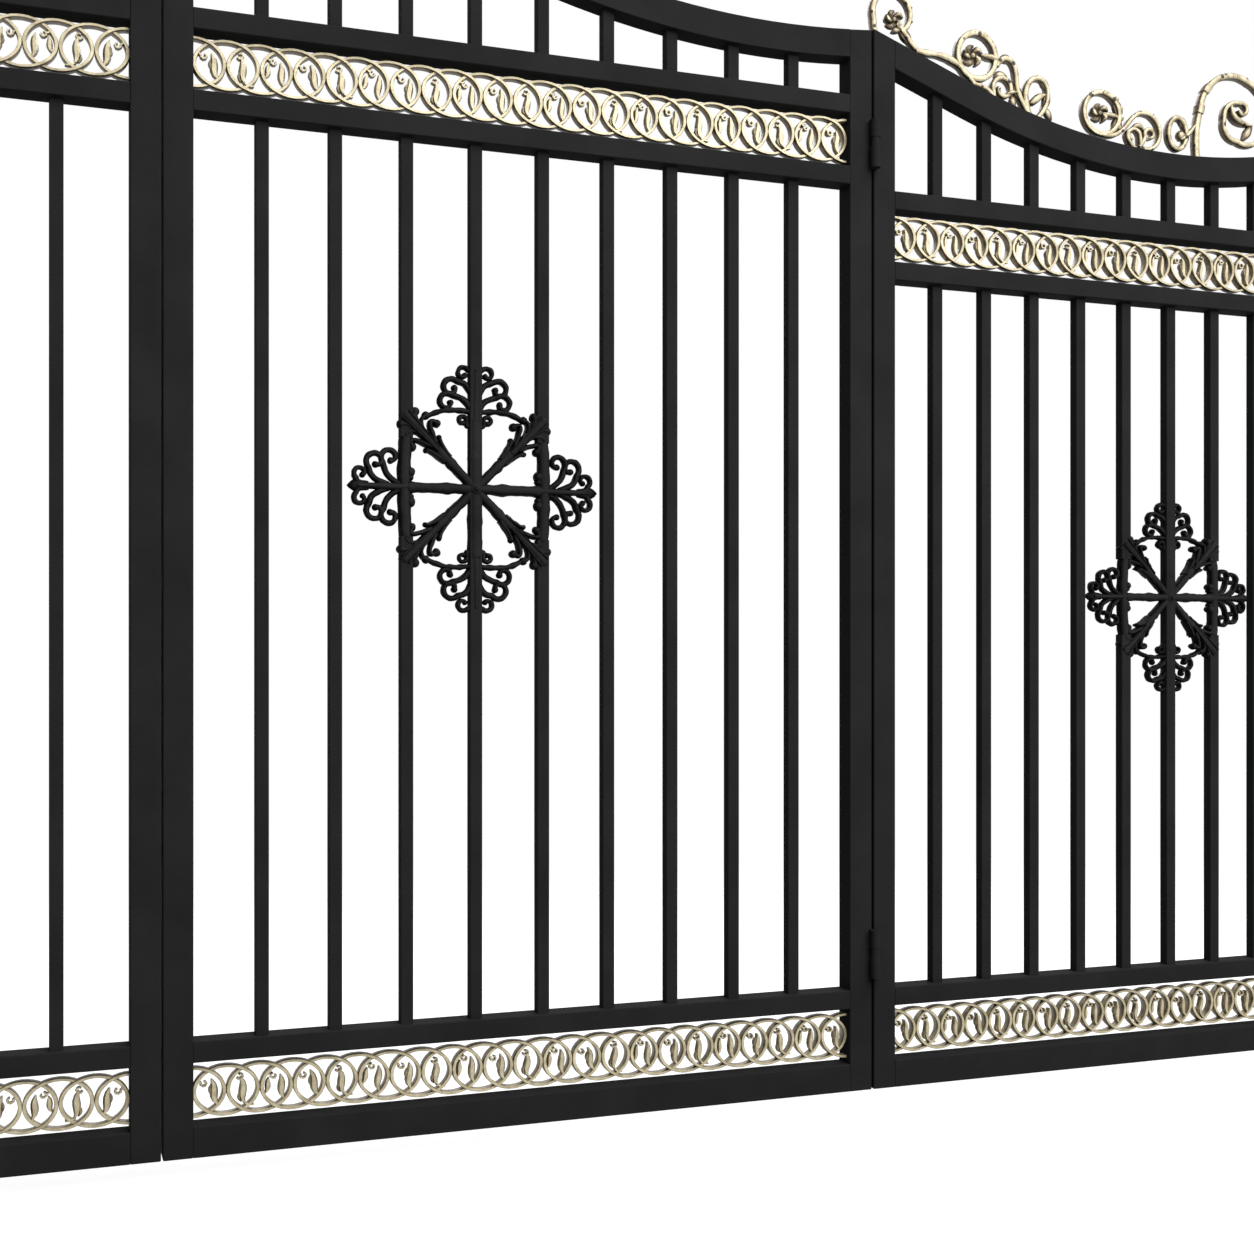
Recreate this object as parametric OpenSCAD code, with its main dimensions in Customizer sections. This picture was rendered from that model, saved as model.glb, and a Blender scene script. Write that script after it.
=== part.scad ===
// Four-leaf folding driveway gate of square tube, with bands of interlaced
// rings, cast medallions on the bars and a scrolled crest on the outer leaves.
// Seen from the front, X runs to the right, Y away from the viewer, Z up.
// The origin is the middle of the left post's foot.

/* [Leaves] */
// Inner leaf, from the meeting seam to the hinge seam
inner_leaf_w = 1411; // [1200:1:1600]
// Outer leaf, from the hinge seam to the post seam
outer_leaf_w = 1510; // [1300:1:1700]
// Gap between two leaves, or a leaf and a post, at a hinge
hinge_seam = 5; // [5:0.5:9]
// Gap between the two inner leaves where they meet
meeting_seam = 8; // [7:0.5:12]
// Clear height under the leaves
ground_gap = 50; // [20:1:120]

/* [Frame tubes] */
// Width of an upright stile
stile_w = 50; // [40:1:70]
// Depth of the frame, front to back
frame_depth = 50; // [40:1:70]
// Height of the bottom rail and of the curved top rail
edge_rail_h = 56; // [40:1:70]
// Height of a straight rail beside a ring band
band_rail_h = 38; // [25:1:50]
// Side of a square bar
bar_w = 22; // [14:1:30]
// Number of bars in an inner leaf
inner_bars = 9; // [5:2:13]
// Number of bars in an outer leaf
outer_bars = 11; // [5:2:15]

/* [Levels above the bottom edge of the leaves] */
// Clear height of the lower ring band
lower_band_h = 113; // [90:1:140]
// Clear height of the upper ring band
upper_band_h = 108; // [90:1:140]
// Lower edge of the upper ring band in an inner leaf
inner_band_z = 1898; // [1700:1:1950]
// Lower edge of the upper ring band in an outer leaf
outer_band_z = 1710; // [1500:1:1760]

/* [Top rails] */
// Radius of the inner leaf's top edge
inner_top_r = 1800; // [1600:5:2400]
// Lowest height of the inner leaf's top edge
inner_low_z = 2170; // [2120:1:2240]
// Distance of that lowest place from the hinge seam
inner_low_from_seam = 213; // [100:1:400]
// Radius of the outer leaf's top edge in its middle part
outer_top_r = 1480; // [1350:5:1800]
// Lowest height of the outer leaf's top edge
outer_low_z = 2008; // [1970:1:2040]
// Slope of the straight ends of the outer leaf's top edge, in degrees
outer_end_slope = 19.8; // [14:0.2:24]

/* [Ring bands] */
// Thickness of a ring's bar, seen from the front
ring_bar = 6; // [4:0.5:9]
// Depth of the rings, front to back
ring_depth = 20; // [10:1:30]
// Wanted distance from ring to ring in an inner leaf
inner_ring_pitch = 59.6; // [58:0.2:75]
// Wanted distance from ring to ring in an outer leaf
outer_ring_pitch = 57; // [57:0.2:75]
// Depth of the leaf sprigs inside the rings
sprig_depth = 12; // [6:1:18]
// Thickness of a sprig's stems
sprig_stem = 4; // [2.5:0.5:6]

/* [Medallions] */
// Depth of a medallion, front to back
medallion_depth = 34; // [26:1:44]
// Height of the inner leaf's medallion centre
inner_medallion_z = 1208; // [900:1:1500]
// Height of the outer leaf's medallion centre
outer_medallion_z = 1024; // [800:1:1300]
// Bar that carries the inner leaf's medallion, counted from the meeting seam
inner_medallion_bar = 4; // [3:1:7]
// Bar that carries the outer leaf's medallion, counted from the hinge seam
outer_medallion_bar = 6; // [3:1:9]

/* [Crest] */
// Steps across the outer leaf's top on which the crest is laid out
crest_steps = 151; // [148:1:160]
// Thickness of the crest's scroll bars, seen from the front
scroll_bar = 10; // [7:0.5:13]
// Thickness of the large scroll's bar at its foot
large_bar = 18; // [12:0.5:22]
// Depth of the crest, front to back
crest_depth = 25; // [14:1:40]

/* [Hinges] */
// Radius of a hinge barrel
barrel_r = 10.5; // [8:0.5:14]
// Radius of a hinge pin
pin_r = 6; // [4:0.5:7]
// Running clearance of a pin in its knuckle
pin_play = 0.05; // [0.02:0.01:0.1]
// Height of the lower knuckle
lower_knuckle_h = 44; // [30:1:60]
// Height of the bush between the knuckles
bush_h = 18; // [8:1:25]
// Height of the upper knuckle
upper_knuckle_h = 37; // [25:1:60]
// How much slimmer than the barrel the bush is, all round
bush_step = 1.5; // [0.5:0.5:3]
// How far the pin's end stays below the upper knuckle's top
pin_short = 3; // [1:0.5:8]
// Distance from the seam's edge to a barrel's lug
lug_inset = 1; // [0.5:0.5:2]
// Foot of the lower hinge above the bottom edge of the leaves
low_hinge_z = 231; // [210:1:400]
// Foot of the upper hinge above the bottom edge of the leaves
high_hinge_z = 1895; // [1500:1:1950]

/* [Posts] */
// Side of a square post
post_w = 100; // [80:1:150]
// Height of a post without its cap
post_h = 2350; // [2280:1:2600]
// Thickness of the cap plate
cap_h = 8; // [4:1:20]
// How far the cap plate stands out
cap_lip = 6; // [2:1:15]

/* [Clearances] */
// Gap at a welded seat on a curved face
weld_gap = 0.2; // [0.1:0.05:0.4]
// Gap between a barrel and the face it stands on
barrel_gap = 0.5; // [0.3:0.1:2]
// Play between bush and upper knuckle
bush_play = 0.3; // [0.2:0.1:0.8]

/* [Hidden] */
$fn = 64;
half_w = inner_leaf_w + outer_leaf_w;
post_x = half_w + hinge_seam / 2 + post_w / 2;
post_y = frame_depth / 2 - post_w / 2;
axis_y = frame_depth / 2 + barrel_gap + barrel_r;
barrel_h = lower_knuckle_h + bush_h + upper_knuckle_h;
lug_x = hinge_seam / 2 + lug_inset;

// Edges of the leaves and of the openings between their stiles
inner_x0 = meeting_seam / 2;
inner_x1 = inner_leaf_w - hinge_seam / 2;
outer_x0 = inner_leaf_w + hinge_seam / 2;
outer_x1 = half_w - hinge_seam / 2;
inner_open0 = inner_x0 + stile_w;
inner_open1 = inner_x1 - stile_w;
outer_open0 = outer_x0 + stile_w;
outer_open1 = outer_x1 - stile_w;

// Levels of the straight rails
lower_band_z = edge_rail_h;
lower_rail_z = lower_band_z + lower_band_h;
bars_z0 = lower_rail_z + band_rail_h;
function rails_of(band_z) = [0, lower_rail_z, band_z - band_rail_h, band_z + upper_band_h];

// Centres of the top edges' arcs
inner_arc = [inner_leaf_w - inner_low_from_seam, inner_low_z + inner_top_r];
outer_mid = inner_leaf_w + outer_leaf_w / 2;
outer_arc = [outer_mid, outer_low_z + outer_top_r];
big = 3 * outer_top_r;

// Share of the bar pitch to which a medallion's frame takes the place of the bars beside it
cut_share = 0.7;

// Bar pitch and bar centres between two opening edges
function pitch_of(x0, x1, n) = (x1 - x0 - n * bar_w) / (n + 1) + bar_w;
function bar_x(x0, x1, n, i) = x0 - bar_w / 2 + pitch_of(x0, x1, n) * i;

inner_pitch = pitch_of(inner_open0, inner_open1, inner_bars);
outer_pitch = pitch_of(outer_open0, outer_open1, outer_bars);
inner_medallion_x = bar_x(inner_open0, inner_open1, inner_bars, inner_medallion_bar);
outer_medallion_x = bar_x(outer_open0, outer_open1, outer_bars, outer_medallion_bar);

// Paths in the plane of the gate
function unit(v) = v / norm(v);
function along(path, i) = unit(path[min(i + 1, len(path) - 1)] - path[max(i - 1, 0)]);
function aside(path, i) = [-along(path, i)[1], along(path, i)[0]];
function half_at(w0, w1, i, n) = (w0 + (w1 - w0) * i / n) / 2;
function ribbon(path, w0, w1) = let (n = len(path) - 1) concat(
    [for (i = [0:n]) path[i] - aside(path, i) * half_at(w0, w1, i, n)],
    [for (i = [n:-1:0]) path[i] + aside(path, i) * half_at(w0, w1, i, n)]);
function blade(t) = 0.2 + 0.8 * sin(180 * t);
function leaf(path, w) = let (n = len(path) - 1) concat(
    [for (i = [0:n]) path[i] - aside(path, i) * blade(i / n) * w / 2],
    [for (i = [n:-1:0]) path[i] + aside(path, i) * blade(i / n) * w / 2]);
function flip(m, path) = [for (q = path) [q[0], m * q[1]]];
function roll(c, r0, r1, a0, a1, n) = [for (i = [1:n]) let (t = i / n, a = a0 + (a1 - a0) * t)
    c + (r0 - (r0 - r1) * t * t) * [cos(a), sin(a)]];
function bend(a, b, c, d, n) = [for (i = [0:n]) let (t = i / n, u = 1 - t)
    u * u * u * a + 3 * u * u * t * b + 3 * u * t * t * c + t * t * t * d];

function scroll(foot, ctrl, c, r0, r1, a0, a1) = let (
    start = c + r0 * [cos(a0), sin(a0)],
    lead = start - sign(a1 - a0) * 0.7 * r0 * [-sin(a0), cos(a0)])
    concat(bend(foot, ctrl, lead, start, 6), roll(c, r0, r1, a0, a1, ceil(abs(a1 - a0) / 15)));

// Slope and height of the outer leaf's top edge at a distance from the hinge seam
function slope_at(s) = let (d = s - outer_leaf_w / 2, lim = outer_top_r * sin(outer_end_slope))
    abs(d) > lim ? sign(d) * outer_end_slope : asin(d / outer_top_r);
function top_z(s) = let (d = abs(s - outer_leaf_w / 2), lim = outer_top_r * sin(outer_end_slope))
    d > lim
        ? outer_low_z + outer_top_r * (1 - cos(outer_end_slope)) + (d - lim) * tan(outer_end_slope)
        : outer_low_z + outer_top_r - sqrt(outer_top_r * outer_top_r - d * d);

// Point over that edge, with its distance from the hinge seam and its height in crest steps
step = outer_leaf_w / crest_steps;
seat = (scroll_bar / 2 + weld_gap) / step;
function over(s, h) = let (a = slope_at(s * step))
    [inner_leaf_w + s * step, top_z(s * step)] + h * step * [-sin(a), cos(a)];

iron = [0.14, 0.14, 0.145];
gold = [0.78, 0.71, 0.52];

// Placing: the right half is drawn from the middle of the gate, the left half mirrors it
module at_origin() translate([post_x, -post_y, 0]) children();
module right_half() at_origin() translate([0, 0, ground_gap]) children();
module left_half() at_origin() mirror([1, 0, 0]) translate([0, 0, ground_gap]) children();
module upright(depth) rotate([90, 0, 0]) linear_extrude(depth, center = true) children();

// Space above the top edges, lowered by some depth
module above_inner(drop) translate(inner_arc) circle(inner_top_r + drop, $fn = 256);

module above_outer(drop) {
    r = outer_top_r + drop;
    translate(outer_arc) {
        intersection() {
            circle(r, $fn = 256);
            polygon([[0, 0],
                [-big * sin(outer_end_slope), -big * cos(outer_end_slope)],
                [big * sin(outer_end_slope), -big * cos(outer_end_slope)]]);
        }
        rotate(outer_end_slope) translate([0, -r]) square([outer_leaf_w, r]);
        rotate(-outer_end_slope) translate([-outer_leaf_w, -r]) square([outer_leaf_w, r]);
    }
}

// Frame pieces
module stile_pair(x0, x1, top) upright(frame_depth) difference() {
    for (x = [x0, x1 - stile_w]) translate([x, 0]) square([stile_w, top]);
    children();
}

module straight_rails(x0, x1, band_z) upright(frame_depth) {
    z = rails_of(band_z);
    for (i = [0:3]) translate([x0, z[i]]) square([x1 - x0, i == 0 ? edge_rail_h : band_rail_h]);
}

// Bars; the two beside a medallion's bar are cut where its frame takes their place
module bar_row(x0, x1, n, band_z, top, medallion_bar, medallion_z) upright(bar_w) {
    short_z = band_z + upper_band_h + band_rail_h;
    cut = cut_share * pitch_of(x0, x1, n);
    difference() {
        for (i = [1:n]) translate([bar_x(x0, x1, n, i) - bar_w / 2, bars_z0])
            square([bar_w, band_z - band_rail_h - bars_z0]);
        for (m = [-1, 1]) translate([bar_x(x0, x1, n, medallion_bar + m) - bar_w, medallion_z - cut])
            square([2 * bar_w, 2 * cut]);
    }
    difference() {
        for (i = [1:n])
            translate([bar_x(x0, x1, n, i) - bar_w / 2, short_z]) square([bar_w, top - short_z]);
        children();
    }
}

// Ring bands: rings filling the opening from rail to rail, each crossing its neighbours
module ring_row(x0, x1, z, h, wanted) {
    d = h - 2 * weld_gap;
    n = floor((x1 - x0 - d) / wanted);
    pitch = (x1 - x0 - d) / n;
    translate([0, 0, z + h / 2]) {
        upright(ring_depth) intersection() {
            translate([x0 + weld_gap, -h]) square([x1 - x0 - 2 * weld_gap, 2 * h]);
            for (i = [-1:n + 1]) translate([x0 + d / 2 + i * pitch, 0]) difference() {
                circle(d / 2);
                circle(d / 2 - ring_bar);
            }
        }
        upright(sprig_depth) for (i = [0:n - 1]) translate([x0 + (d + pitch) / 2 + i * pitch, 0]) sprig(d);
    }
}

// A bud on its stem and a small curl, in the lens where two rings of diameter d cross
module sprig(d) {
    bud = d * [0.085, -0.03];
    bud_w = 0.11 * d;
    bud_h = 0.34 * d;
    bud_r = (bud_w * bud_w + bud_h * bud_h) / (4 * bud_w);
    curl = d * [-0.065, 0.16];
    stem = 0.13 * d;
    translate(bud) intersection() {
        translate([bud_r - bud_w / 2, 0]) circle(bud_r);
        translate([bud_w / 2 - bud_r, 0]) circle(bud_r);
    }
    translate(bud - [0, 0.4 * bud_h]) rotate(-65) translate([0, -sprig_stem / 2]) square([stem, sprig_stem]);
    translate(curl) {
        difference() {
            circle(0.06 * d);
            circle(0.025 * d);
        }
        rotate(160) translate([0.04 * d, -sprig_stem / 2]) square([0.6 * stem, sprig_stem]);
    }
}

// A bar bent along a path, from one width to another
module strip(depth, path, w0, w1) upright(depth) polygon(ribbon(path, w0, w1));

// Medallion, drawn for a bar pitch p round its centre
module hooks(p, m) {
    bar = 0.07 * p;
    tip = 0.05 * p;
    polygon(ribbon(flip(m, scroll([1.12 * p, 0], [1.36 * p, 0.14 * p], [1.26 * p, 0.43 * p],
        0.13 * p, 0.05 * p, -30, 265)), bar, tip));
    polygon(ribbon(flip(m, scroll([1.29 * p, 0], [1.6 * p, 0.13 * p], [1.47 * p, 0.36 * p],
        0.14 * p, 0.05 * p, -35, 275)), bar, tip));
    polygon(ribbon(flip(m, scroll([1.6 * p, 0], [1.79 * p, 0.04 * p], [1.69 * p, 0.18 * p],
        0.09 * p, 0.04 * p, -45, 235)), bar, tip));
}

module knob(p, m) {
    polygon(ribbon(flip(m, [[1.02 * p, 0.03 * p], [0.96 * p, 0.19 * p]]), 0.07 * p, 0.07 * p));
    translate([0.95 * p, m * 0.19 * p]) circle(0.07 * p);
}

module corner_leaf(p) {
    polygon(leaf(bend([0.9 * p, 0], [1.1 * p, 0], [1.32 * p, 0], [1.5 * p, 0], 8), 0.22 * p));
    for (m = [-1, 1]) {
        polygon(leaf(flip(m, bend([0.47 * p, 0.04 * p], [0.69 * p, 0.07 * p], [0.81 * p, 0.1 * p],
            [0.92 * p, 0.2 * p], 6)), 0.1 * p));
        polygon(leaf(flip(m, bend([0.96 * p, 0.03 * p], [1.13 * p, 0.09 * p], [1.29 * p, 0.15 * p],
            [1.32 * p, 0.3 * p], 6)), 0.12 * p));
        polygon(ribbon(flip(m, scroll([0.98 * p, 0.04 * p], [1.1 * p, 0.17 * p], [1.1 * p, 0.26 * p],
            0.085 * p, 0.04 * p, -40, 200)), 0.075 * p, 0.06 * p));
    }
}

module medallion_outline(p) {
    arm = 0.14 * p;
    reach = 1.75 * p;
    spear = 0.19 * p;
    circle(0.14 * p);
    for (a = [0:45:315]) rotate(a) {
        translate([0, -arm / 2]) square([a % 90 == 0 ? reach : p, arm]);
        translate([0.43 * p, 0]) circle(0.09 * p);
    }
    for (a = [0:90:270]) rotate(a) {
        translate([reach, 0]) rotate(45) square(spear, center = true);
        for (m = [-1, 1]) {
            hooks(p, m);
            knob(p, m);
        }
    }
    for (a = [45:90:315]) rotate(a) corner_leaf(p);
    for (a = [90, 270]) rotate(a) for (m = [-1, 1])
        polygon(ribbon(flip(m, bend([1.07 * p, 0.05 * p], [1.14 * p, 0.27 * p], [1.1 * p, 0.47 * p],
            [p, 0.75 * p], 6)), 0.065 * p, 0.065 * p));
    for (a = [0, 180]) rotate(a) polygon(ribbon(bend([p, -cut_share * p], [1.04 * p, -0.3 * p],
        [1.04 * p, 0.3 * p], [p, cut_share * p], 8), bar_w, bar_w));
}

module medallion(x, z, p) translate([x, 0, z]) difference() {
    upright(medallion_depth) medallion_outline(p);
    cube([bar_w, bar_w, 6 * p], center = true);
    for (i = [-1, 1], k = [-1, 1]) translate([i * p, 0, k * (cut_share * p + p)])
        cube([bar_w, bar_w, 2 * p], center = true);
}

// Crest on the outer leaf's top rail
module rosette(c, r) upright(crest_depth) translate(c) {
    circle(0.6 * r);
    for (a = [0:60:300]) rotate(a) translate([0.6 * r, 0]) circle(0.4 * r);
}

module ring(c, r) upright(crest_depth) translate(c) difference() {
    circle(r);
    circle(r - scroll_bar);
}

module crest_strip(path, w0, w1) strip(crest_depth, path, w0, w1);

module crest_leaf(path, w) upright(crest_depth) polygon(leaf(path, w));

// The crest's feet are cut to the rail they are welded to
module on_rail() intersection() {
    union() children();
    upright(crest_depth) above_outer(-weld_gap);
}

module crest_end() on_rail() {
    tip = 0.7 * scroll_bar;
    bud_r = 1.9;
    loop_r = 5.2;
    hook = over(3.7, 6.9);
    bud = hook + step * [1.3, -1.6];
    loop = over(23.6, loop_r + seat / 2);
    stem = bend(bud, over(7.2, 1.4), over(8.4, seat), over(11.6, seat), 8);
    crest_strip(scroll(over(1.7, -seat), over(0.8, 4), hook, 4.7 * step, 3.8 * step, 190, -75),
        scroll_bar, tip);
    rosette(bud, bud_r * step);
    crest_strip(stem, scroll_bar, scroll_bar);
    crest_leaf(stem, 2 * scroll_bar);
    crest_strip(bend(over(11.2, seat), over(16.5, seat), over(19.6, 5.8), over(24.4, seat), 12),
        scroll_bar, scroll_bar);
    crest_strip([for (s = [23.6:2.4:38]) over(s, seat)], scroll_bar, scroll_bar);
    ring(loop, loop_r * step);
    rosette(loop + step * [-0.4, 0.4], bud_r * step);
    crest_strip([loop, loop + step * [loop_r - seat, 0]], tip, tip);
    crest_strip(scroll(over(37.2, seat), over(38.4, 4), over(32.2, 5), 3.4 * step, step, -10, 400),
        scroll_bar, tip);
    crest_strip(scroll(over(36.6, seat), over(38.4, seat), over(40.2, 4 + seat), 4 * step, 1.2 * step,
        235, 590), scroll_bar, tip);
}

module crest_middle() on_rail() {
    tip = 0.7 * scroll_bar;
    bud_r = 1.9;
    loop_r = 5.4;
    loop = over(57.3, loop_r);
    foot = loop + step * [0.4, seat - loop_r];
    ring(loop, loop_r * step);
    rosette(loop + step * [-0.2, 0.4], bud_r * step);
    crest_strip([loop, loop + step * [loop_r - seat, 1.4]], tip, tip);
    crest_strip(scroll(foot, foot + step * [4.6, 0], over(68.8, 3.5 + seat), 4.2 * step, 1.2 * step,
        120, -300), scroll_bar, tip);
    crest_strip(scroll(over(82.8, 3), over(82.6, 7.2), over(77.8, 3.6 + seat), 3.6 * step, step, 50, 430),
        scroll_bar, tip);
    crest_strip(scroll(over(83, -seat), over(82.4, 5), over(94.4, 9.4), 11.2 * step, 2.2 * step, 165, -330),
        large_bar, scroll_bar);
}

// Hinges: the axis is the local Z, the owner of the lug lies towards +X or -X
module lug(side, z, h) translate([side > 0 ? lug_x : -lug_x - barrel_r / 2, 0, z])
    cube([barrel_r / 2, barrel_r + barrel_gap, h]);

module knuckle(side) difference() {
    union() {
        translate([0, 0, lower_knuckle_h + bush_h + bush_play]) cylinder(h = upper_knuckle_h, r = barrel_r);
        lug(side, lower_knuckle_h + bush_h + bush_play, upper_knuckle_h);
    }
    cylinder(h = 2 * barrel_h, r = pin_r + pin_play);
}

module pin(side) {
    cylinder(h = lower_knuckle_h, r = barrel_r);
    cylinder(h = lower_knuckle_h + bush_h, r = barrel_r - bush_step);
    cylinder(h = barrel_h - pin_short, r = pin_r);
    lug(side, 0, lower_knuckle_h);
}

module on_axes(x, y, turn) for (z = [low_hinge_z, high_hinge_z])
    translate([x, y, z]) mirror([0, turn, 0]) children();

// The front barrels' lugs reach back to the face, the post barrels' lugs reach forward
module inner_knuckles() on_axes(inner_leaf_w, -axis_y, 0) knuckle(-1);
module outer_hinge_pins() on_axes(inner_leaf_w, -axis_y, 0) pin(1);
module outer_knuckles() on_axes(half_w, axis_y, 1) knuckle(-1);
module post_pins() on_axes(half_w, axis_y, 1) pin(1);

// Posts
module post() translate([post_x, post_y, 0]) translate([-post_w / 2, -post_w / 2, 0])
    cube([post_w, post_w, post_h]);

module post_cap() translate([post_x, post_y, post_h]) {
    lip = post_w + 2 * cap_lip;
    translate([-lip / 2, -lip / 2, 0]) cube([lip, lip, cap_h]);
}

// Leaf pieces in the right half
inner_top = inner_arc[1];
outer_top = outer_arc[1];

module inner_stiles() stile_pair(inner_x0, inner_x1, inner_top) above_inner(0);
module outer_stiles() stile_pair(outer_x0, outer_x1, outer_top) above_outer(0);
module inner_rails() straight_rails(inner_open0, inner_open1, inner_band_z);
module outer_rails() straight_rails(outer_open0, outer_open1, outer_band_z);

module inner_top_rail() upright(frame_depth) intersection() {
    difference() {
        above_inner(edge_rail_h);
        above_inner(0);
    }
    translate([inner_open0, 0]) square([inner_open1 - inner_open0, inner_top]);
}

module outer_top_rail() upright(frame_depth) intersection() {
    difference() {
        above_outer(edge_rail_h);
        above_outer(0);
    }
    translate([outer_open0, 0]) square([outer_open1 - outer_open0, outer_top]);
}

module inner_bar_row() bar_row(inner_open0, inner_open1, inner_bars, inner_band_z, inner_top,
    inner_medallion_bar, inner_medallion_z)
    above_inner(edge_rail_h + weld_gap);
module outer_bar_row() bar_row(outer_open0, outer_open1, outer_bars, outer_band_z, outer_top,
    outer_medallion_bar, outer_medallion_z)
    above_outer(edge_rail_h + weld_gap);

module inner_lower_rings() ring_row(inner_open0, inner_open1, lower_band_z, lower_band_h, inner_ring_pitch);
module inner_upper_rings() ring_row(inner_open0, inner_open1, inner_band_z, upper_band_h, inner_ring_pitch);
module outer_lower_rings() ring_row(outer_open0, outer_open1, lower_band_z, lower_band_h, outer_ring_pitch);
module outer_upper_rings() ring_row(outer_open0, outer_open1, outer_band_z, upper_band_h, outer_ring_pitch);

module inner_medallion() medallion(inner_medallion_x, inner_medallion_z, inner_pitch);
module outer_medallion() medallion(outer_medallion_x, outer_medallion_z, outer_pitch);

module outer_crest_ends() {
    crest_end();
    translate([2 * outer_mid, 0, 0]) mirror([1, 0, 0]) crest_end();
}

// Sub-parts
module left_post() color(iron) at_origin() mirror([1, 0, 0]) post();
module right_post() color(iron) at_origin() post();
module left_post_cap() color(iron) at_origin() mirror([1, 0, 0]) post_cap();
module right_post_cap() color(iron) at_origin() post_cap();
module post_hinge_pins() color(iron) {
    left_half() post_pins();
    right_half() post_pins();
}
module right_inner_stiles() color(iron) right_half() inner_stiles();
module right_inner_rails() color(iron) right_half() inner_rails();
module right_inner_top_rail() color(iron) right_half() inner_top_rail();
module right_inner_bars() color(iron) right_half() inner_bar_row();
module right_inner_lower_rings() color(gold) right_half() inner_lower_rings();
module right_inner_upper_rings() color(gold) right_half() inner_upper_rings();
module right_inner_medallion() color(iron) right_half() inner_medallion();
module right_inner_knuckles() color(iron) right_half() inner_knuckles();
module right_outer_stiles() color(iron) right_half() outer_stiles();
module right_outer_rails() color(iron) right_half() outer_rails();
module right_outer_top_rail() color(iron) right_half() outer_top_rail();
module right_outer_bars() color(iron) right_half() outer_bar_row();
module right_outer_lower_rings() color(gold) right_half() outer_lower_rings();
module right_outer_upper_rings() color(gold) right_half() outer_upper_rings();
module right_outer_medallion() color(iron) right_half() outer_medallion();
module right_outer_crest_ends() color(gold) right_half() outer_crest_ends();
module right_outer_crest_middle() color(gold) right_half() crest_middle();
module right_outer_hinge_pins() color(iron) right_half() outer_hinge_pins();
module right_outer_knuckles() color(iron) right_half() outer_knuckles();
module left_inner_stiles() color(iron) left_half() inner_stiles();
module left_inner_rails() color(iron) left_half() inner_rails();
module left_inner_top_rail() color(iron) left_half() inner_top_rail();
module left_inner_bars() color(iron) left_half() inner_bar_row();
module left_inner_lower_rings() color(gold) left_half() inner_lower_rings();
module left_inner_upper_rings() color(gold) left_half() inner_upper_rings();
module left_inner_medallion() color(iron) left_half() inner_medallion();
module left_inner_knuckles() color(iron) left_half() inner_knuckles();
module left_outer_stiles() color(iron) left_half() outer_stiles();
module left_outer_rails() color(iron) left_half() outer_rails();
module left_outer_top_rail() color(iron) left_half() outer_top_rail();
module left_outer_bars() color(iron) left_half() outer_bar_row();
module left_outer_lower_rings() color(gold) left_half() outer_lower_rings();
module left_outer_upper_rings() color(gold) left_half() outer_upper_rings();
module left_outer_medallion() color(iron) left_half() outer_medallion();
module left_outer_crest_ends() color(gold) left_half() outer_crest_ends();
module left_outer_crest_middle() color(gold) left_half() crest_middle();
module left_outer_hinge_pins() color(iron) left_half() outer_hinge_pins();
module left_outer_knuckles() color(iron) left_half() outer_knuckles();

left_post();
right_post();
left_post_cap();
right_post_cap();
post_hinge_pins();
right_inner_stiles();
right_inner_rails();
right_inner_top_rail();
right_inner_bars();
right_inner_lower_rings();
right_inner_upper_rings();
right_inner_medallion();
right_inner_knuckles();
right_outer_stiles();
right_outer_rails();
right_outer_top_rail();
right_outer_bars();
right_outer_lower_rings();
right_outer_upper_rings();
right_outer_medallion();
right_outer_crest_ends();
right_outer_crest_middle();
right_outer_hinge_pins();
right_outer_knuckles();
left_inner_stiles();
left_inner_rails();
left_inner_top_rail();
left_inner_bars();
left_inner_lower_rings();
left_inner_upper_rings();
left_inner_medallion();
left_inner_knuckles();
left_outer_stiles();
left_outer_rails();
left_outer_top_rail();
left_outer_bars();
left_outer_lower_rings();
left_outer_upper_rings();
left_outer_medallion();
left_outer_crest_ends();
left_outer_crest_middle();
left_outer_hinge_pins();
left_outer_knuckles();
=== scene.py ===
import math
import random

import bmesh
import bpy
from mathutils import Matrix, Vector, noise


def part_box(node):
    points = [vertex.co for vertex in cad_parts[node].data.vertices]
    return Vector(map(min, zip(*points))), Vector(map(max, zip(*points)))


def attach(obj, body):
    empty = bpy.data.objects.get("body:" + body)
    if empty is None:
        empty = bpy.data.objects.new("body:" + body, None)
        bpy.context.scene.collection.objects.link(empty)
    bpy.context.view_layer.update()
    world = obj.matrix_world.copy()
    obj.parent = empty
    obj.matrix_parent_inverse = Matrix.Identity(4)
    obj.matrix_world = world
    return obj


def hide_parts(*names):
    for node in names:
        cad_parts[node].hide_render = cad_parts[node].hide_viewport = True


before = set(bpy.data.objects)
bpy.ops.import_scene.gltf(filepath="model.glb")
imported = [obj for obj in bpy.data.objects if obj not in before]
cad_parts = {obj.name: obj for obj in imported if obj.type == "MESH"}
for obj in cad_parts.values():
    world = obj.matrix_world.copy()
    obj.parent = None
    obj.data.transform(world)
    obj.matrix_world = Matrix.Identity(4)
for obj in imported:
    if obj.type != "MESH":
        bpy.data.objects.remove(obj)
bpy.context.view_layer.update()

MM = 0.001
SIDES = ("right", "left")

# Places of the leaves, read from the frame
GATE_MID = (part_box("left_post")[0].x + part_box("right_post")[1].x) / 2
INNER_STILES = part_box("right_inner_stiles")
OUTER_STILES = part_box("right_outer_stiles")
SILL = INNER_STILES[0].z
PLANE = (INNER_STILES[0].y + INNER_STILES[1].y) / 2
SEAM = (INNER_STILES[1].x + OUTER_STILES[0].x) / 2
LEAF_W = OUTER_STILES[1].x - INNER_STILES[1].x

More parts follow.
